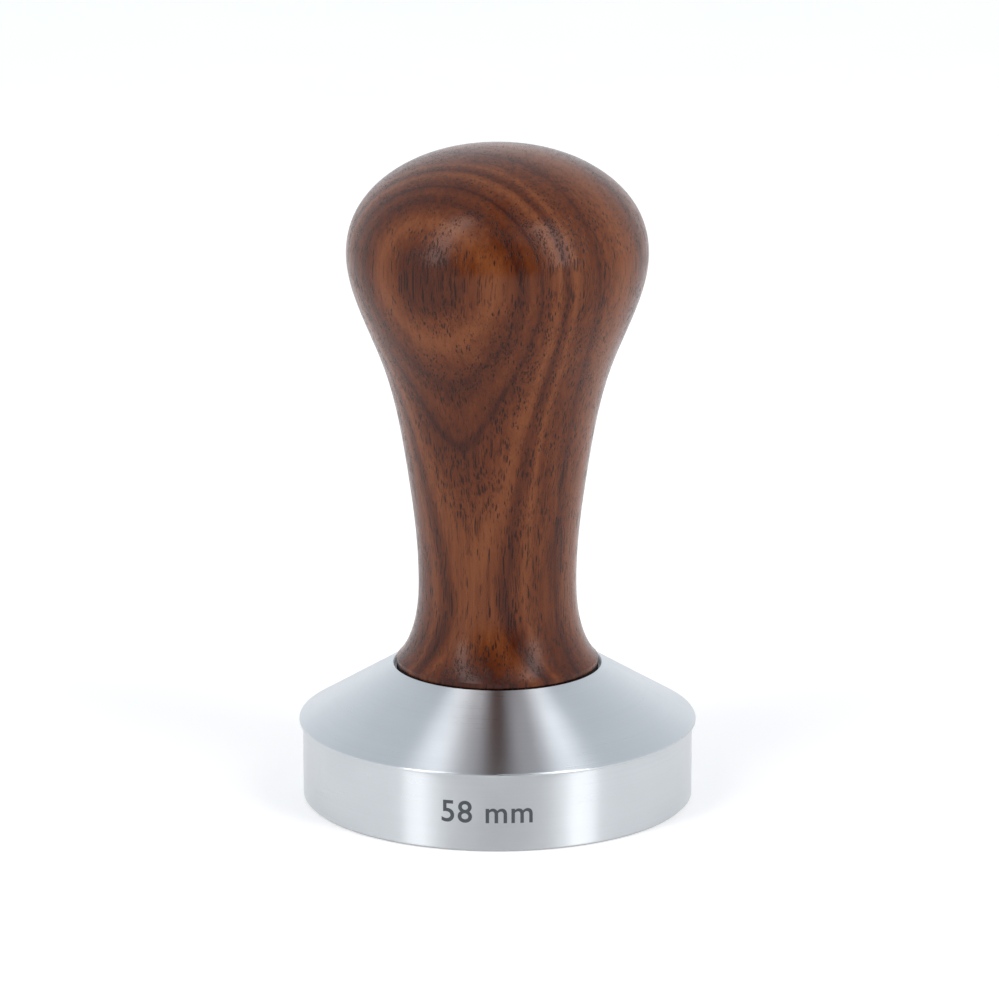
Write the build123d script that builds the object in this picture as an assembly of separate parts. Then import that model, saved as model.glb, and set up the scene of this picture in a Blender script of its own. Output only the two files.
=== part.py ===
from build123d import *
import os
from math import radians, tan

# Espresso tamper, millimetres. +Z up along the turning axis, origin at the centre of the tamping face.
# A turned steel piston carries a threaded stud, and a turned wooden handle screws down onto it.

# Piston: a 58 mm wall, a thin lip that overhangs it, and a cone up to the recess for the handle's foot.
PISTON_R = 58.0 / 2
LIP_R = 59.1 / 2
LIP_UNDERSIDE_Z = 11.5
CONE_SLOPE_DEG = 31.0
CONE_TOP_R = 15.52
CONE_TOP_Z = 20.3
LIP_UPPER_ROUND = 0.25
LIP_LOWER_ROUND = 0.12
FACE_EDGE_BREAK = 0.35
RECESS_EDGE_BREAK = 0.2
RECESS_FLOOR_Z = 19.3

# Stud: an M8 x 25 socket set screw, driven down to the flat bottom of the piston's blind hole.
# Its thread, and the threads that take it, are plain cylinders at the crests with a small play.
STUD_R = 3.92
STUD_BOTTOM_Z = 8.0
STUD_LENGTH = 25.0
STUD_CHAMFER = 0.7
SOCKET_ACROSS_FLATS = 4.0
SOCKET_DEPTH = 4.5
THREADED_HOLE_R = 4.0
HOLE_MOUTH_R = 4.5

# Washer: rubber, between the recess floor and the handle's foot.
WASHER_R = 15.0
WASHER_HOLE_R = 5.0
WASHER_THICKNESS = 0.9
WASHER_ROUND = 0.2

# Insert: brass, pressed up into the wood, with barbs that hold it and a flange that stops it.
INSERT_GAP = 0.2
INSERT_LENGTH = 15.0
INSERT_CORE_R = 5.4
BARB_R = 5.9
BARB_COUNT = 5
BARB_HEIGHT = 2.4
FLANGE_R = 7.5
FLANGE_THICKNESS = 1.0

# Handle: one turned outline from the foot, through the waist and the bulge, to the crown.
FOOT_R = 15.0
FOOT_ROUND = 0.25
FOOT_LAND_TOP_Z = 21.1
FLARE_MID = (12.9, 24.6)
WAIST = (11.7, 33.7)
GRIP_LOW = (13.3, 50.0)
GRIP_HIGH = (16.9, 66.0)
SHOULDER = (20.55, 75.0)
BULGE = (22.11, 82.8)
CROWN_EDGE = (20.75, 88.2)
CROWN = (14.4, 94.6)
APEX = (0.0, 98.14)
FLARE_DIRECTION = (-0.72, 0.69)
POCKET_R = 5.6
POCKET_TOP_GAP = 0.4
FLANGE_SEAT_CLEARANCE = 0.15
DRILL_TIP_DEG = 31.0

WASHER_TOP_Z = RECESS_FLOOR_Z + WASHER_THICKNESS
INSERT_BOTTOM_Z = WASHER_TOP_Z + INSERT_GAP
FLANGE_TOP_Z = INSERT_BOTTOM_Z + FLANGE_THICKNESS


def disc(radius, bottom_z, top_z):
    """Plain cylinder on the axis, between two heights."""
    size = Cylinder(radius, top_z - bottom_z, align=(Align.CENTER, Align.CENTER, Align.MIN))
    return Pos(0, 0, bottom_z) * size


def cone(bottom_r, top_r, bottom_z, top_z):
    """Plain cone on the axis, between two heights."""
    size = Cone(bottom_r, top_r, top_z - bottom_z, align=(Align.CENTER, Align.CENTER, Align.MIN))
    return Pos(0, 0, bottom_z) * size


def turned(*edges):
    """Solid turned about Z from a closed outline drawn in the XZ plane."""
    return revolve(Plane.XZ * make_face(edges), Axis.Z)


def make_piston():
    """Steel piston with its lip, cone, recess and blind hole for the stud."""
    lip_corner_z = CONE_TOP_Z - (LIP_R - CONE_TOP_R) * tan(radians(CONE_SLOPE_DEG))
    outline = Polyline(
        (0, 0),
        (PISTON_R, 0),
        (PISTON_R, LIP_UNDERSIDE_Z),
        (LIP_R, LIP_UNDERSIDE_Z),
        (LIP_R, lip_corner_z),
        (CONE_TOP_R, CONE_TOP_Z),
        (0, CONE_TOP_Z),
        close=True,
    )
    face = make_face(outline)
    face = chamfer(face.vertices().sort_by_distance((PISTON_R, 0))[0], FACE_EDGE_BREAK)
    face = fillet(face.vertices().sort_by_distance((LIP_R, LIP_UNDERSIDE_Z))[0], LIP_LOWER_ROUND)
    face = fillet(face.vertices().sort_by_distance((LIP_R, lip_corner_z))[0], LIP_UPPER_ROUND)
    body = revolve(Plane.XZ * face, Axis.Z)
    recess_r = CONE_TOP_R - RECESS_EDGE_BREAK
    body -= disc(recess_r, RECESS_FLOOR_Z, CONE_TOP_Z)
    body -= cone(recess_r, CONE_TOP_R, CONE_TOP_Z - RECESS_EDGE_BREAK, CONE_TOP_Z)
    body -= disc(THREADED_HOLE_R, STUD_BOTTOM_Z, CONE_TOP_Z)
    mouth_depth = HOLE_MOUTH_R - THREADED_HOLE_R
    return body - cone(THREADED_HOLE_R, HOLE_MOUTH_R, RECESS_FLOOR_Z - mouth_depth, RECESS_FLOOR_Z)


def make_stud():
    """Stud with chamfered ends and a hexagon socket in its top end."""
    top_z = STUD_BOTTOM_Z + STUD_LENGTH
    body = disc(STUD_R, STUD_BOTTOM_Z, top_z)
    body = chamfer(body.edges().filter_by(GeomType.CIRCLE), STUD_CHAMFER)
    hexagon = RegularPolygon(SOCKET_ACROSS_FLATS / 2, 6, major_radius=False)
    return body - extrude(Pos(0, 0, top_z) * hexagon, -SOCKET_DEPTH)


def make_washer():
    """Flat rubber washer with softened edges."""
    ring = disc(WASHER_R, RECESS_FLOOR_Z, WASHER_TOP_Z) - disc(WASHER_HOLE_R, RECESS_FLOOR_Z, WASHER_TOP_Z)
    return fillet(ring.edges().filter_by(GeomType.CIRCLE), WASHER_ROUND)


def make_insert():
    """Brass insert: flange and barbs outside, hole for the stud inside."""
    top_z = INSERT_BOTTOM_Z + INSERT_LENGTH
    body = disc(INSERT_CORE_R, INSERT_BOTTOM_Z, top_z)
    body += disc(FLANGE_R, INSERT_BOTTOM_Z, FLANGE_TOP_Z)
    for barb in range(BARB_COUNT):
        barb_z = top_z - (barb + 1) * BARB_HEIGHT
        body += cone(BARB_R, INSERT_CORE_R, barb_z, barb_z + BARB_HEIGHT)
    body -= disc(THREADED_HOLE_R, INSERT_BOTTOM_Z, top_z)
    mouth_depth = HOLE_MOUTH_R - THREADED_HOLE_R
    return body - cone(HOLE_MOUTH_R, THREADED_HOLE_R, INSERT_BOTTOM_Z, INSERT_BOTTOM_Z + mouth_depth)


def make_handle():
    """Turned wooden handle with a flat foot, a seat for the flange and a drilled pocket above it."""
    foot = Line((0, WASHER_TOP_Z), (FOOT_R - FOOT_ROUND, WASHER_TOP_Z))
    foot_corner = RadiusArc(foot @ 1, (FOOT_R, WASHER_TOP_Z + FOOT_ROUND), -FOOT_ROUND)
    land = Line(foot_corner @ 1, (FOOT_R, FOOT_LAND_TOP_Z))
    points = [land @ 1, FLARE_MID, WAIST, GRIP_LOW, GRIP_HIGH, SHOULDER, BULGE, CROWN_EDGE, CROWN, APEX]
    side = Spline(points, tangents=[FLARE_DIRECTION, (-1, 0)], tangent_scalars=[1, 1])
    axis = Line(side @ 1, foot @ 0)
    body = turned(foot, foot_corner, land, side, axis)
    pocket_top_z = INSERT_BOTTOM_Z + INSERT_LENGTH + POCKET_TOP_GAP
    tip_height = POCKET_R * tan(radians(DRILL_TIP_DEG))
    body -= disc(FLANGE_R + FLANGE_SEAT_CLEARANCE, WASHER_TOP_Z, FLANGE_TOP_Z)
    body -= disc(POCKET_R, FLANGE_TOP_Z, pocket_top_z)
    return body - cone(POCKET_R, 0, pocket_top_z, pocket_top_z + tip_height)


MAKERS = {
    "piston": make_piston,
    "stud": make_stud,
    "washer": make_washer,
    "insert": make_insert,
    "handle": make_handle,
}

os.makedirs("parts", exist_ok=True)
for node, make in MAKERS.items():
    export_step(make(), f"parts/{node}.step")
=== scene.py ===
import math

import bmesh
import bpy
from mathutils import Matrix, Vector


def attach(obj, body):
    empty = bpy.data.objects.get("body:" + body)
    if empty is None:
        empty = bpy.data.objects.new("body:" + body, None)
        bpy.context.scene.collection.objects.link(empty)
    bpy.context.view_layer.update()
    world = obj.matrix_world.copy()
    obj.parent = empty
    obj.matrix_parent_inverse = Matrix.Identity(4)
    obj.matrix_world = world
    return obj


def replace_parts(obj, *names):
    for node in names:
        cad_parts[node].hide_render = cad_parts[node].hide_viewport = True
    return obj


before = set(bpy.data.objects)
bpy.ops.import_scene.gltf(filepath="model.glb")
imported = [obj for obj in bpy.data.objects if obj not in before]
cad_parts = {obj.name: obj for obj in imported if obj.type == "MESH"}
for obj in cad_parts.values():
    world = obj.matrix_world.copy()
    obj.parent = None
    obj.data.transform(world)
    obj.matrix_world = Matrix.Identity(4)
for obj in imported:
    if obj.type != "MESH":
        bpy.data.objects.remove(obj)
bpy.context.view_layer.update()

# The scene is in metres, in the CAD frame: +Z up, the size mark faces -Y, where the camera is.
# Meshes and material patterns are worked out in millimetres.
MM = 0.001

# Sizes in millimetres that the CAD model fixes.
PISTON_R = 29.0
STUD_Z = (8.0, 33.0)
INSERT_Z = (20.4, 35.4)


# ---------------------------------------------------------------- node helpers

class Graph:
    """Shader nodes of a material or world, made and linked in one call each."""

    def __init__(self, owner):
        self.owner = owner
        owner.use_nodes = True
        self.tree = owner.node_tree
        self.tree.nodes.clear()

    def set_input(self, socket, value):
        """Sets a socket to a value, or links it to another node's output."""
        if isinstance(value, bpy.types.NodeSocket):
            self.tree.links.new(value, socket)
        else:
            socket.default_value = value

    def node(self, kind, inputs=None, **settings):
        """A node, with its inputs given by name or number."""
        made = self.tree.nodes.new("ShaderNode" + kind)
        for key, value in settings.items():
            setattr(made, key, value)
        for key, value in (inputs or {}).items():
            self.set_input(made.inputs[key], value)
        return made

    def math(self, operation, a, b=0.0, c=0.0, clamp=False):
        """One number worked out from up to three others."""
        return self.node("Math", {0: a, 1: b, 2: c}, operation=operation, use_clamp=clamp).outputs[0]

    def mix(self, factor, a, b):
        """Colour between a and b."""
        made = self.node("Mix", data_type="RGBA")
        # The colour sockets share their names with the number sockets, so they go by their places.
        for place, value in ((0, factor), (6, a), (7, b)):
            self.set_input(made.inputs[place], value)
        return made.outputs[2]

    def remap(self, value, low, high, out_low=0.0, out_high=1.0, smooth=False):
        """Value stretched from one range to another, and held at its ends."""
        made = self.node("MapRange", {0: value, 1: low, 2: high, 3: out_low, 4: out_high})
        made.interpolation_type = "SMOOTHSTEP" if smooth else "LINEAR"
        return made.outputs[0]

    def ramp(self, value, stops, interpolation="EASE"):
        """Colour ramp with (place, colour) stops."""
        made = self.node("ValToRGB", {0: value})
        made.color_ramp.interpolation = interpolation
        elements = made.color_ramp.elements
        while len(elements) > 1:
            elements.remove(elements[-1])
        elements[0].position, elements[0].color = stops[0]
        for place, colour in stops[1:]:
            elements.new(place).color = colour
        return made.outputs[0]

    def noise(self, vector, scale, detail=2.0, roughness=0.5):
        """Noise from 0 to 1 about 0.5."""
        inputs = {"Vector": vector, "Scale": scale, "Detail": detail, "Roughness": roughness}
        return self.node("TexNoise", inputs).outputs[0]

    def vector(self, x, y, z):
        return self.node("CombineXYZ", {0: x, 1: y, 2: z}).outputs[0]

    def vector_math(self, operation, a, b):
        return self.node("VectorMath", {0: a, 1: b}, operation=operation).outputs[0]

    def slow_along_z(self, place, speed):
        """Place squeezed along Z, so that noise on it is drawn out along the grain of the wood."""
        return self.node("Mapping", {"Vector": place, "Scale": (1, 1, speed)}).outputs[0]

    def bump(self, height, strength, distance):
        return self.node("Bump", {"Height": height, "Strength": strength, "Distance": distance}).outputs[0]

    def millimetres(self):
        """Place on the piece in millimetres, as a vector and as its three parts."""
        place = self.node("TexCoord").outputs["Object"]
        scaled = self.node("VectorMath", {0: place, "Scale": 1 / MM}, operation="SCALE").outputs[0]
        parts = self.node("SeparateXYZ", {0: scaled}).outputs
        return scaled, parts[0], parts[1], parts[2]

    def finish(self, inputs):
        """The material, with one Principled shader that has these inputs."""
        shader = self.node("BsdfPrincipled", inputs)
        self.node("OutputMaterial", {0: shader.outputs[0]})
        return self.owner


# ---------------------------------------------------------------- turned metal

# Each metal's colour, roughness and height of its turning rings in millimetres.
STEEL_LOOK = ((0.60, 0.62, 0.64), 0.30, 0.0005)
SCREW_LOOK = ((0.45, 0.46, 0.47), 0.35, 0.0012)
BRASS_LOOK = ((0.72, 0.50, 0.22), 0.30, 0.0012)
TINT_SWING = 0.03
FINE_RINGS_PER_MM = 14.0
BROAD_RINGS_PER_MM = 2.0
RING_DRIFT_PER_RADIAN = 0.05
FINE_RING_SHARE = 0.7
WEAR_PATCHES_PER_MM = 0.12


def shade(colour, factor):
    """Colour made lighter or darker, with full alpha."""
    return (*[channel * factor for channel in colour], 1.0)


def turned_metal(name, colour, roughness, ring_height):
    """Lathe-turned metal: fine rings round the axis stretch each highlight along the outline."""
    g = Graph(bpy.data.materials.new(name))
    place, x, y, z = g.millimetres()
    radius = g.math("SQRT", g.math("ADD", g.math("MULTIPLY", x, x), g.math("MULTIPLY", y, y)))
    drift = g.math("MULTIPLY", g.math("ARCTAN2", x, y), RING_DRIFT_PER_RADIAN)
    across_rings = g.vector(radius, z, drift)
    fine = g.noise(across_rings, FINE_RINGS_PER_MM, detail=3.0, roughness=0.6)
    broad = g.noise(across_rings, BROAD_RINGS_PER_MM)
    worn = g.noise(place, WEAR_PATCHES_PER_MM, detail=3.0)
    rings = g.math(
        "ADD", g.math("MULTIPLY", fine, FINE_RING_SHARE), g.math("MULTIPLY", broad, 1 - FINE_RING_SHARE)
    )
    tint = g.mix(g.remap(rings, 0.3, 0.7), shade(colour, 1 - TINT_SWING), shade(colour, 1 + TINT_SWING))
    ring_roughness = g.remap(fine, 0.25, 0.75, roughness - 0.02, roughness + 0.02)
    return g.finish({
        "Base Color": tint,
        "Metallic": 1.0,
        "Roughness": g.math("ADD", ring_roughness, g.remap(worn, 0.35, 0.7, -0.015, 0.03)),
        # A quarter turn lays the long side of each highlight along the outline.
        "Anisotropic": 1.0,
        "Anisotropic Rotation": 0.25,
        "Normal": g.bump(rings, strength=1.0, distance=ring_height * MM),
        "Tangent": g.node("Tangent", direction_type="RADIAL", axis="Z").outputs[0],
    })


# ---------------------------------------------------------------- walnut

# Growth rings of the block, as (mm from the middle of the block, tone, share of vessels that show).
# Each ring has a dark line, with most of its vessels on the line or just inside it.
GROWTH_RINGS = (
    (-1.0, 0.80, 0.30), (1.7, 0.64, 0.45), (3.1, 0.56, 0.75), (4.1, 0.38, 0.95), (4.7, 0.24, 0.60),
    (5.3, 0.42, 0.40), (6.4, 0.50, 0.60), (7.4, 0.46, 0.85), (8.2, 0.54, 0.50), (9.1, 0.74, 0.25),
    (9.9, 0.48, 0.80), (10.5, 0.26, 0.90), (10.9, 0.34, 0.50), (11.3, 0.62, 0.20), (11.9, 0.76, 0.20),
    (12.5, 0.62, 0.70), (13.1, 0.46, 1.00), (14.0, 0.34, 1.00), (14.3, 0.10, 0.50), (14.7, 0.34, 0.20),
    (15.4, 0.44, 0.15), (16.1, 0.30, 0.60), (16.8, 0.22, 0.85), (17.6, 0.42, 0.40), (18.4, 0.56, 0.20),
    (19.4, 0.80, 0.10), (20.6, 0.52, 0.40), (21.3, 0.26, 0.90), (22.5, 0.20, 1.00),
)
RING_SPAN = (-1.0, 24.0)
RING_TURN_DEG = 20.8
RING_TWIST_DEG_PER_MM = 0.23
RING_TWIST_CENTRE_MM = 60.0
RING_BEND_RADIUS_MM = 56.0

# Tone from 0 to 1 picks a colour between these.
WOOD_COLOURS = (
    (0.08, (0.047, 0.0092, 0.0040, 1)),
    (0.45, (0.107, 0.0245, 0.0066, 1)),
    (0.85, (0.186, 0.0545, 0.0175, 1)),
)
VESSEL_COLOUR = (0.015, 0.0030, 0.0014, 1)
FIBRE_TONE_SWING = 0.17
MOTTLE_TONE_SWING = 0.08

# Painted shade: the flare above the foot, under the bulge, is darkened to stand in for the shade that
# falls there.
PAINTED_SHADE_FLARE_Z = (24.0, 31.0)
PAINTED_SHADE_FLARE_TONE = 0.17

# Vessels: cells per mm, radius as a part of a cell, and what is added to the share that shows.
WIDE_VESSELS = (2.5, 0.44, 0.08)
NARROW_VESSELS = (4.2, 0.44, 0.35)
NARROW_VESSEL_DEPTH = 0.7
VESSEL_COLOUR_STRENGTH = 0.85
VESSEL_ROUGHNESS = 0.15
FIBRE_RELIEF = 0.15

# Parts of a vessel's radius: the size of the smallest vessel, and how far out each one is fully dark.
SMALLEST_VESSEL = 0.55
VESSEL_CORE = 0.55

# Soft edges of what shows: over the share of vessels, and over the noise that breaks them up.
VESSEL_FADE = 0.12
VESSEL_BREAK = (0.38, 0.48)


def wandered(g, place, scale, speed, reach):
    """Place pushed sideways by up to about half of reach, by noise that is slow along the grain."""
    inputs = {"Vector": g.slow_along_z(place, speed), "Scale": scale, "Detail": 2.0}
    wander = g.node("TexNoise", inputs).outputs[1]
    shift = g.vector_math("SUBTRACT", wander, (0.5, 0.5, 0.5))
    shift = g.vector_math("MULTIPLY", shift, (reach, reach, 0.0))
    return g.vector_math("ADD", place, shift)


def ring_place(g, place, z):
    """Millimetres outwards through the rings, which are curved and turn slowly with height."""
    height = g.math("SUBTRACT", z, RING_TWIST_CENTRE_MM)
    twist, turn = math.radians(RING_TWIST_DEG_PER_MM), math.radians(RING_TURN_DEG)
    angle = g.math("MULTIPLY_ADD", height, twist, turn)
    turned = g.node("VectorRotate", {"Vector": place, "Angle": angle}, rotation_type="Z_AXIS").outputs[0]
    across, depth, _ = g.node("SeparateXYZ", {0: turned}).outputs
    bend = g.math("DIVIDE", g.math("MULTIPLY", across, across), 2 * RING_BEND_RADIUS_MM)
    outwards = g.math("SUBTRACT", g.math("MULTIPLY", depth, -1.0), bend)
    # The same rings come round again behind the middle of the block.
    from_middle = g.math("ABSOLUTE", g.math("SUBTRACT", outwards, RING_SPAN[0]))
    return g.math("ADD", from_middle, RING_SPAN[0])


def vessels(g, place, wavy, share, kind):
    """Dark tubes along the grain, which the surface cuts into dashes: 1 in a vessel, 0 outside."""
    scale, radius, more_share = kind
    cells = g.node("TexVoronoi", {"Vector": wavy, "Scale": scale}, voronoi_dimensions="2D").outputs
    chance, size, _ = g.node("SeparateColor", {0: cells["Color"]}).outputs
    edge = g.math("MULTIPLY", g.remap(size, 0.0, 1.0, SMALLEST_VESSEL, 1.0), radius)
    tube = g.remap(g.math("DIVIDE", cells["Distance"], edge), VESSEL_CORE, 1.0, 1.0, 0.0, smooth=True)
    kept = g.remap(g.math("SUBTRACT", g.math("ADD", share, more_share), chance), 0.0, VESSEL_FADE)
    breaks = g.noise(g.slow_along_z(place, speed=0.45), scale=0.9, detail=1.0)
    return g.math("MULTIPLY", g.math("MULTIPLY", tube, kept), g.remap(breaks, *VESSEL_BREAK))


def walnut():
    """Solid walnut with an oil finish. The rings run through the block, so the turning cuts them."""
    g = Graph(bpy.data.materials.new("walnut_oiled"))
    place, _, _, z = g.millimetres()
    moved = wandered(g, place, scale=0.07, speed=0.35, reach=1.3)
    span = RING_SPAN[1] - RING_SPAN[0]
    stops = [((mm - RING_SPAN[0]) / span, (tone, share, 0, 1)) for mm, tone, share in GROWTH_RINGS]
    ring_values = g.ramp(g.remap(ring_place(g, moved, z), *RING_SPAN), stops)
    ring_tone, share, _ = g.node("SeparateColor", {0: ring_values}).outputs

    fibres = g.noise(g.slow_along_z(place, speed=0.04), scale=1.6, detail=4.0, roughness=0.65)
    mottle = g.noise(g.slow_along_z(place, speed=0.25), scale=0.35, detail=3.0)
    # Painted shade: the tone is darker towards the foot on the flare, to stand in for the shade under the
    # bulge.
    painted_flare_shade = g.remap(z, *PAINTED_SHADE_FLARE_Z, PAINTED_SHADE_FLARE_TONE, 0.0, smooth=True)
    tone = g.math("ADD", ring_tone, g.remap(fibres, 0.25, 0.75, -FIBRE_TONE_SWING, FIBRE_TONE_SWING))
    tone = g.math("ADD", tone, g.remap(mottle, 0.3, 0.7, -MOTTLE_TONE_SWING, MOTTLE_TONE_SWING))
    tone = g.math("SUBTRACT", tone, painted_flare_shade, clamp=True)

    wavy = wandered(g, moved, scale=0.14, speed=0.8, reach=1.8)
    wide = vessels(g, place, wavy, share, WIDE_VESSELS)
    narrow = vessels(g, place, wavy, share, NARROW_VESSELS)
    pore = g.math("MAXIMUM", wide, g.math("MULTIPLY", narrow, NARROW_VESSEL_DEPTH))
    darkness = g.math("MULTIPLY", pore, VESSEL_COLOUR_STRENGTH)
    height = g.math("SUBTRACT", g.math("MULTIPLY", fibres, FIBRE_RELIEF), pore)
    fibre_roughness = g.remap(fibres, 0.2, 0.8, 0.19, 0.25)
    return g.finish({
        "Base Color": g.mix(darkness, g.ramp(tone, WOOD_COLOURS, "LINEAR"), VESSEL_COLOUR),
        "Roughness": g.math("ADD", fibre_roughness, g.math("MULTIPLY", pore, VESSEL_ROUGHNESS)),
        "IOR": 1.4,
        "Specular IOR Level": 0.30,
        "Normal": g.bump(height, strength=0.6, distance=0.02 * MM),
    })


# ---------------------------------------------------------------- plain materials

def rubber():
    """Matt black rubber with a faint moulded grain."""
    g = Graph(bpy.data.materials.new("rubber_black"))
    place, *_ = g.millimetres()
    grain = g.noise(place, scale=6.0, detail=3.0)
    return g.finish({
        "Base Color": g.mix(grain, (0.003, 0.003, 0.0033, 1), (0.007, 0.007, 0.0075, 1)),
        "Roughness": g.remap(grain, 0.3, 0.7, 0.62, 0.78),
        "Specular IOR Level": 0.2,
        "Normal": g.bump(grain, strength=0.4, distance=0.01 * MM),
    })


def etched():
    """Laser-etched mark: dull grey, a little uneven."""
    g = Graph(bpy.data.materials.new("etched_mark"))
    place, *_ = g.millimetres()
    grain = g.noise(place, scale=14.0, detail=3.0)
    return g.finish({
        "Base Color": g.mix(grain, (0.055, 0.062, 0.070, 1), (0.10, 0.11, 0.12, 1)),
        "Metallic": 0.6,
        "Roughness": g.remap(grain, 0.3, 0.7, 0.45, 0.6),
    })


def pale_floor():
    """Matt white that glows a little, so that the floor stays white far from the lights."""
    g = Graph(bpy.data.materials.new("floor_pale"))
    place, *_ = g.millimetres()
    grain = g.noise(place, scale=0.02)
    return g.finish({
        "Base Color": g.mix(grain, (0.885, 0.88, 0.88, 1), (0.925, 0.915, 0.91, 1)),
        "Roughness": 0.8,
        "Emission Color": (1.0, 0.94, 0.88, 1),
        "Emission Strength": 0.19,
    })


def dress(node, material):
    """Puts a material on every slot of a CAD node."""
    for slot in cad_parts[node].material_slots:
        slot.material = material


# ---------------------------------------------------------------- materials on the CAD nodes

STEEL = turned_metal("steel_turned", *STEEL_LOOK)
SCREW_STEEL = turned_metal("steel_screw", *SCREW_LOOK)
BRASS = turned_metal("brass_turned", *BRASS_LOOK)
dress("piston", STEEL)
dress("stud", SCREW_STEEL)
dress("insert", BRASS)
dress("washer", rubber())
dress("handle", walnut())


# ---------------------------------------------------------------- mesh helpers, in millimetres

# M8 x 1.25 thread. The play is the gap between a tooth of the stud and each flank of its groove.
PITCH = 1.25
PITCH_R = 3.594
FLANK_SLOPE = math.tan(math.radians(30))
PLAY = 0.08
TIP_ROUND = 0.05
COLUMNS = 72
SHARP_EDGE_DEG = 28

# Distances below which two points count as one, or a point counts as lying on a cut or a rim.
WELD_GAP = 0.003
MARK_WELD_GAP = 0.002
END_CUT_GAP = 0.002
MARK_CUT_GAP = 0.001
RIM_GAP = 0.01


def half_width(radius, play):
    """Half the axial width of a tooth or groove at a radius."""
    return PITCH / 4 - (radius - PITCH_R) * FLANK_SLOPE + play / 2


def cut_flat(mesh, place, normal, gap, clear_outer=False):
    """Cuts every face at a plane, and may clear what is beyond it."""
    everything = mesh.verts[:] + mesh.edges[:] + mesh.faces[:]
    bmesh.ops.bisect_plane(
        mesh, geom=everything, dist=gap, plane_co=place, plane_no=normal, clear_outer=clear_outer
    )


def thread_skin(mesh, profile, low_z, high_z):
    """Right-hand thread cut flat at two heights. The profile is (height, radius) over one pitch."""
    first_turn = math.floor(low_z / PITCH) - 1
    turns = math.ceil(high_z / PITCH) + 2 - first_turn
    rows = []
    for step in range(turns * COLUMNS + 1):
        angle = 2 * math.pi * step / COLUMNS
        start = PITCH * (first_turn + step / COLUMNS)
        rows.append([
            mesh.verts.new((radius * math.cos(angle), radius * math.sin(angle), start + height))
            for height, radius in profile
        ])
    for step in range(turns * COLUMNS):
        here, there = rows[step], rows[step + 1]
        for low, high in zip(range(len(profile)), range(1, len(profile))):
            mesh.faces.new((here[low], there[low], there[high], here[high]))
        above = step + COLUMNS
        if above + 1 < len(rows):
            mesh.faces.new((here[-1], there[-1], rows[above + 1][0], rows[above][0]))
    for height, side in ((low_z, -1), (high_z, 1)):
        cut_flat(mesh, (0, 0, height), (0, 0, side), END_CUT_GAP, clear_outer=True)


def limit_radius(mesh, limit, widen):
    """Pushes each vertex in to a radius that depends on its height, or out to it."""
    for vertex in mesh.verts:
        radius = math.hypot(vertex.co.x, vertex.co.y)
        wanted = limit(vertex.co.z)
        if (radius < wanted) if widen else (radius > wanted):
            vertex.co.xy *= wanted / radius


def rim(mesh, height):
    """Open edges at one height."""
    return [
        edge for edge in mesh.edges
        if edge.is_boundary and all(abs(vertex.co.z - height) < RIM_GAP for vertex in edge.verts)
    ]


def ring(mesh, radius, height, count=COLUMNS):
    """Closed loop of vertices."""
    angles = [2 * math.pi * step / count for step in range(count)]
    return [mesh.verts.new((radius * math.cos(a), radius * math.sin(a), height)) for a in angles]


def bridge(mesh, lower, upper):
    """Band of faces between two loops with the same count."""
    for step in range(len(lower)):
        after = (step + 1) % len(lower)
        mesh.faces.new((lower[step], lower[after], upper[after], upper[step]))


def loop_edges(mesh, loop):
    """Edges round a loop, made where they are missing."""
    pairs = [(loop[step], loop[(step + 1) % len(loop)]) for step in range(len(loop))]
    return [mesh.edges.get(pair) or mesh.edges.new(pair) for pair in pairs]


def new_piece(name, mesh, material, body):
    """Turns a mesh in millimetres into a piece that rides on a body."""
    bmesh.ops.remove_doubles(mesh, verts=mesh.verts, dist=WELD_GAP)
    bmesh.ops.recalc_face_normals(mesh, faces=mesh.faces)
    mesh.transform(Matrix.Scale(MM, 4))
    data = bpy.data.meshes.new(name)
    mesh.to_mesh(data)
    mesh.free()
    data.materials.append(material)
    data.shade_smooth()
    data.set_sharp_from_angle(angle=math.radians(SHARP_EDGE_DEG))
    piece = bpy.data.objects.new(name, data)
    bpy.context.scene.collection.objects.link(piece)
    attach(piece, body)
    return piece


# ---------------------------------------------------------------- stud and insert, in millimetres

STUD_CREST_R = 3.92
STUD_CREST_HALF = 0.05
STUD_ROOT_R = 3.24
STUD_END_R = 3.22

# Between two teeth the root dips a little, from one place past a tooth's foot to another.
ROOT_DIP = 0.02
ROOT_DIP_START = 0.07
ROOT_DIP_END = 0.22

SOCKET_SIDES = 6
SOCKET_R = 2.0
SOCKET_MOUTH_R = 2.2
SOCKET_MOUTH_DEPTH = 0.2
SOCKET_DEPTH = 4.5

INSERT_MINOR_R = 3.36
INSERT_MAJOR_R = 4.04
INSERT_GROOVE_HALF = 0.06
INSERT_BOTTOM_MOUTH_R = 4.5
INSERT_TOP_MOUTH_R = 4.3
FLANGE_R = 7.5
FLANGE_HEIGHT = 1.0
FLANGE_ROUND = 0.2
CORE_R = 5.4
CORE_TOP_R = 5.15
BARB_R = 5.9
BARB_COUNT = 5
BARB_HEIGHT = 2.4
FIRST_BARB_HEIGHT = 3.0
TOP_CHAMFER = 0.25


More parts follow.
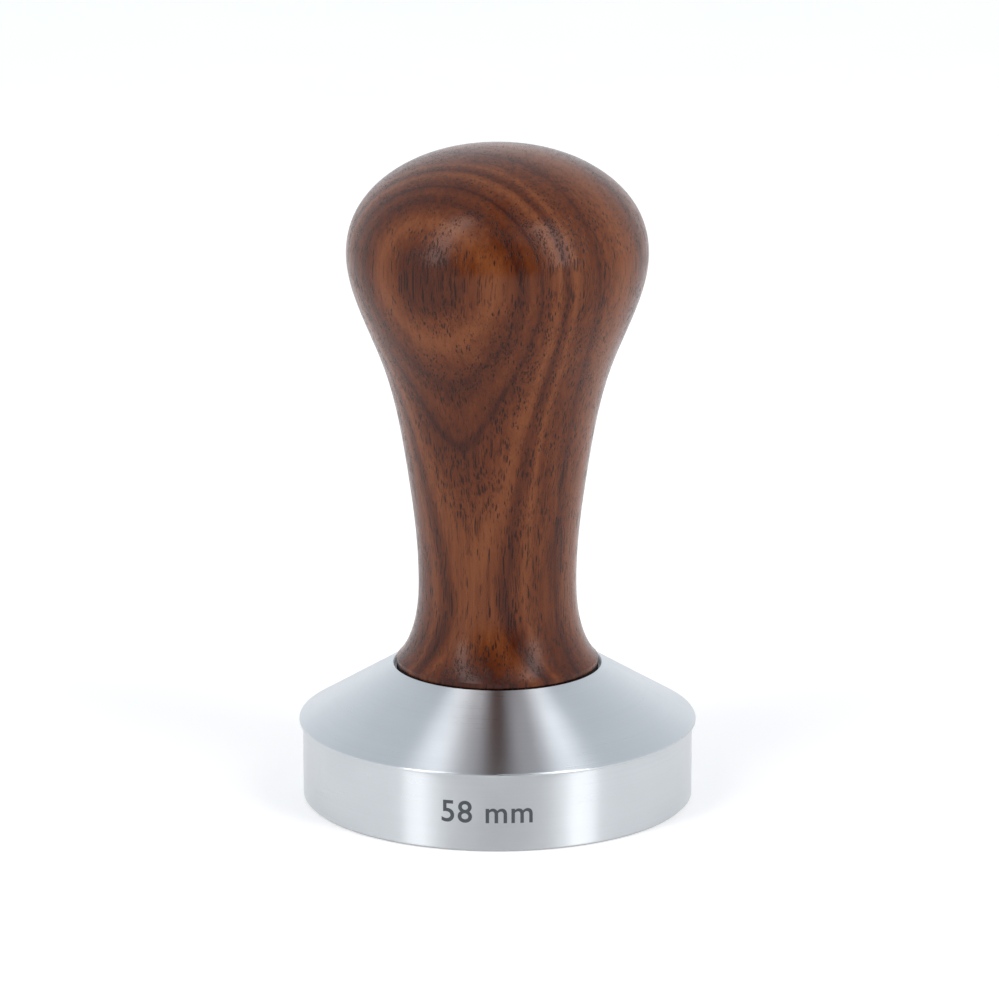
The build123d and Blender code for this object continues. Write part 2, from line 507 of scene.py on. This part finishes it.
def threaded_stud():
    """Set screw with rolled teeth, chamfered ends and a hexagon socket."""
    low_z, high_z = STUD_Z
    shoulder_r = STUD_CREST_R - TIP_ROUND
    foot, shoulder = half_width(STUD_ROOT_R, -PLAY), half_width(shoulder_r, -PLAY)
    dip_r = STUD_ROOT_R - ROOT_DIP
    profile = [
        (-foot, STUD_ROOT_R), (-shoulder, shoulder_r),
        (-STUD_CREST_HALF, STUD_CREST_R), (STUD_CREST_HALF, STUD_CREST_R),
        (shoulder, shoulder_r), (foot, STUD_ROOT_R),
        (foot + ROOT_DIP_START, dip_r), (foot + ROOT_DIP_END, dip_r),
    ]
    mesh = bmesh.new()
    thread_skin(mesh, profile, low_z, high_z)
    limit_radius(mesh, lambda z: STUD_END_R + min(z - low_z, high_z - z), widen=False)
    bmesh.ops.triangle_fill(mesh, use_beauty=True, edges=rim(mesh, low_z))
    corner = 1 / math.cos(math.pi / SOCKET_SIDES)
    mouth = ring(mesh, SOCKET_MOUTH_R * corner, high_z, SOCKET_SIDES)
    wall = ring(mesh, SOCKET_R * corner, high_z - SOCKET_MOUTH_DEPTH, SOCKET_SIDES)
    floor = ring(mesh, SOCKET_R * corner, high_z - SOCKET_DEPTH, SOCKET_SIDES)
    bmesh.ops.triangle_fill(mesh, use_beauty=True, edges=rim(mesh, high_z) + loop_edges(mesh, mouth))
    bridge(mesh, mouth, wall)
    bridge(mesh, wall, floor)
    mesh.faces.new(floor)
    return new_piece("stud_threaded", mesh, SCREW_STEEL, "base")


def threaded_insert():
    """Brass insert: flange and barbs outside, thread inside."""
    low_z, high_z = INSERT_Z
    shoulder_r = INSERT_MAJOR_R - TIP_ROUND
    mouth, shoulder = half_width(INSERT_MINOR_R, PLAY), half_width(shoulder_r, PLAY)
    profile = [
        (-mouth, INSERT_MINOR_R), (-shoulder, shoulder_r),
        (-INSERT_GROOVE_HALF, INSERT_MAJOR_R), (INSERT_GROOVE_HALF, INSERT_MAJOR_R),
        (shoulder, shoulder_r), (mouth, INSERT_MINOR_R),
    ]

    def opened_out(height):
        """Least radius of the hole, which opens out towards both ends."""
        from_ends = INSERT_BOTTOM_MOUTH_R - (height - low_z), INSERT_TOP_MOUTH_R - (high_z - height)
        return max(from_ends)

    mesh = bmesh.new()
    thread_skin(mesh, profile, low_z, high_z)
    limit_radius(mesh, opened_out, widen=True)
    flange_z = low_z + FLANGE_HEIGHT
    first_barb_z = low_z + FIRST_BARB_HEIGHT
    outline = [
        (FLANGE_R - FLANGE_ROUND, low_z), (FLANGE_R, low_z + FLANGE_ROUND),
        (FLANGE_R, flange_z - FLANGE_ROUND), (FLANGE_R - FLANGE_ROUND, flange_z),
        (CORE_R, flange_z), (CORE_R, first_barb_z),
    ]
    for barb in range(BARB_COUNT):
        barb_z = first_barb_z + BARB_HEIGHT * barb
        outline += [(BARB_R, barb_z), (CORE_R, min(barb_z + BARB_HEIGHT, high_z - TOP_CHAMFER))]
    outline.append((CORE_TOP_R, high_z))
    loops = [ring(mesh, radius, height) for radius, height in outline]
    for lower, upper in zip(loops, loops[1:]):
        bridge(mesh, lower, upper)
    for height in (low_z, high_z):
        bmesh.ops.triangle_fill(mesh, use_beauty=True, edges=rim(mesh, height))
    return new_piece("insert_threaded", mesh, BRASS, "handle")


# ---------------------------------------------------------------- size mark, in millimetres

MARK_SIZE = 4.6
MARK_SPACING = 1.08
MARK_BOLDNESS = 0.05
MARK_DEPTH = 0.06
MARK_PROUD = 0.012
MARK_STRIP = 0.3
MARK_Z = 5.8
MARK_TURN = math.radians(-3.0)


def flat_mark():
    """The mark's letters as a thin flat mesh about the origin."""
    curve = bpy.data.curves.new("size_mark_text", "FONT")
    curve.body = "58 mm"
    curve.align_x = curve.align_y = "CENTER"
    curve.size = MARK_SIZE
    curve.space_character = MARK_SPACING
    curve.offset = MARK_BOLDNESS
    curve.extrude = MARK_DEPTH / 2
    curve.resolution_u = 8
    text = bpy.data.objects.new("size_mark_text", curve)
    flat = bpy.data.meshes.new_from_object(text)
    bpy.data.objects.remove(text)
    mesh = bmesh.new()
    mesh.from_mesh(flat)
    bpy.data.meshes.remove(flat)
    bmesh.ops.remove_doubles(mesh, verts=mesh.verts, dist=MARK_WELD_GAP)
    return mesh


def size_mark():
    """The piston's size, as a thin etched layer wrapped on its wall."""
    mesh = flat_mark()
    reach = max(abs(vertex.co.x) for vertex in mesh.verts)
    cuts = math.ceil(2 * reach / MARK_STRIP)
    for cut in range(1, cuts):
        cut_flat(mesh, (-reach + 2 * reach * cut / cuts, 0, 0), (1, 0, 0), MARK_CUT_GAP)
    for vertex in mesh.verts:
        turn = MARK_TURN + vertex.co.x / PISTON_R
        radius = PISTON_R + MARK_PROUD - MARK_DEPTH / 2 + vertex.co.z
        vertex.co = (radius * math.sin(turn), -radius * math.cos(turn), MARK_Z + vertex.co.y)
    return new_piece("size_mark", mesh, etched(), "base")


# ---------------------------------------------------------------- stage

# Camera: its distance and angle above level from the object's middle, its lens in millimetres, and
# the point that it looks at.
CAMERA_DISTANCE = 0.8
CAMERA_ELEVATION = math.radians(14.29)
CAMERA_LENS = 195.6
OBJECT_MIDDLE_Z = 0.05
CAMERA_AIM = Vector((0.0003, 0.0, 0.0451))

FLOOR_HALF = 6.0

# White tent round the object. It has a dark round opening on the camera's side, and a gap above that.
TENT_WALL = (1.06, 1.11, 1.15, 1)
TENT_TOP = (0.66, 0.71, 0.77, 1)
OPENING_ELEVATION_DEG = 10
OPENING_INNER_DEG = 26
OPENING_OUTER_DEG = 40
OPENING_LIGHT = 0.03

# The gap's soft edges, as parts of a unit direction: to the side, up to its foot and back to its end.
GAP_HALF_WIDTH = (0.04, 0.12)
GAP_FOOT = (0.3, 0.45)
GAP_END = (-0.05, 0.10)

# Strip lights: name, bearing in degrees from the camera's side, width and height of the top.
# They share one distance, one height of the bottom and one radiance.
STRIPS = (("strip_left", -49, 0.36, 1.75), ("strip_right", 51, 0.41, 1.40))
STRIP_DISTANCE = 1.1
STRIP_BOTTOM = 0.1
STRIP_LIGHT = 3.8


def make_floor():
    """Plain pale floor."""
    mesh = bpy.data.meshes.new("floor")
    corners = [(x * FLOOR_HALF, y * FLOOR_HALF, 0) for x, y in ((-1, -1), (1, -1), (1, 1), (-1, 1))]
    mesh.from_pydata(corners, [], [(0, 1, 2, 3)])
    mesh.materials.append(pale_floor())
    floor = bpy.data.objects.new("floor", mesh)
    bpy.context.scene.collection.objects.link(floor)


def make_world():
    """White tent: dimmer overhead, with a dark round opening in front and a narrow dark gap above it."""
    world = bpy.data.worlds.new("studio")
    bpy.context.scene.world = world
    g = Graph(world)
    direction = g.node("TexCoord").outputs["Generated"]
    x, y, z = g.node("SeparateXYZ", {0: direction}).outputs
    tilt = math.radians(OPENING_ELEVATION_DEG)
    front = (0.0, -math.cos(tilt), math.sin(tilt))
    facing = g.node("VectorMath", {0: direction, 1: front}, operation="DOT_PRODUCT").outputs["Value"]
    edges = [math.cos(math.radians(angle)) for angle in (OPENING_OUTER_DEG, OPENING_INNER_DEG)]
    opening = g.remap(facing, *edges, 1.0, OPENING_LIGHT, smooth=True)
    gap = g.remap(g.math("ABSOLUTE", x), *GAP_HALF_WIDTH, OPENING_LIGHT, 1.0, smooth=True)
    beyond_gap = g.math("MAXIMUM", g.remap(z, *GAP_FOOT, 1.0, 0.0), g.remap(y, *GAP_END))
    light = g.math("MULTIPLY", opening, g.math("MAXIMUM", gap, beyond_gap))
    background = g.node("Background", {0: g.mix(z, TENT_WALL, TENT_TOP), 1: light})
    g.node("OutputWorld", {0: background.outputs[0]})


def strip_light(name, bearing_deg, width, top):
    """Tall soft strip that faces the object."""
    bearing = math.radians(bearing_deg)
    length = top - STRIP_BOTTOM
    place = Vector((
        STRIP_DISTANCE * math.sin(bearing), -STRIP_DISTANCE * math.cos(bearing), top - length / 2
    ))
    data = bpy.data.lights.new(name, "AREA")
    data.shape = "RECTANGLE"
    data.size, data.size_y = width, length
    data.energy = STRIP_LIGHT * math.pi * width * length
    light = bpy.data.objects.new(name, data)
    light.location = place
    aim = Vector((0, 0, OBJECT_MIDDLE_Z)) - place
    light.rotation_euler = aim.to_track_quat("-Z", "Y").to_euler()
    bpy.context.scene.collection.objects.link(light)
    light.visible_camera = False


def make_camera():
    data = bpy.data.cameras.new("camera")
    data.lens = CAMERA_LENS
    data.sensor_width = 36.0
    data.clip_start = 0.01
    camera = bpy.data.objects.new("camera", data)
    camera.location = (
        0.0,
        -CAMERA_DISTANCE * math.cos(CAMERA_ELEVATION),
        OBJECT_MIDDLE_Z + CAMERA_DISTANCE * math.sin(CAMERA_ELEVATION),
    )
    camera.rotation_euler = (CAMERA_AIM - camera.location).to_track_quat("-Z", "Y").to_euler()
    bpy.context.scene.collection.objects.link(camera)
    bpy.context.scene.camera = camera


# ---------------------------------------------------------------- the scene

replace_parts(threaded_stud(), "stud")
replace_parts(threaded_insert(), "insert")
size_mark()

bpy.context.scene.view_settings.view_transform = "Standard"
make_floor()
make_world()
make_camera()
for strip in STRIPS:
    strip_light(*strip)
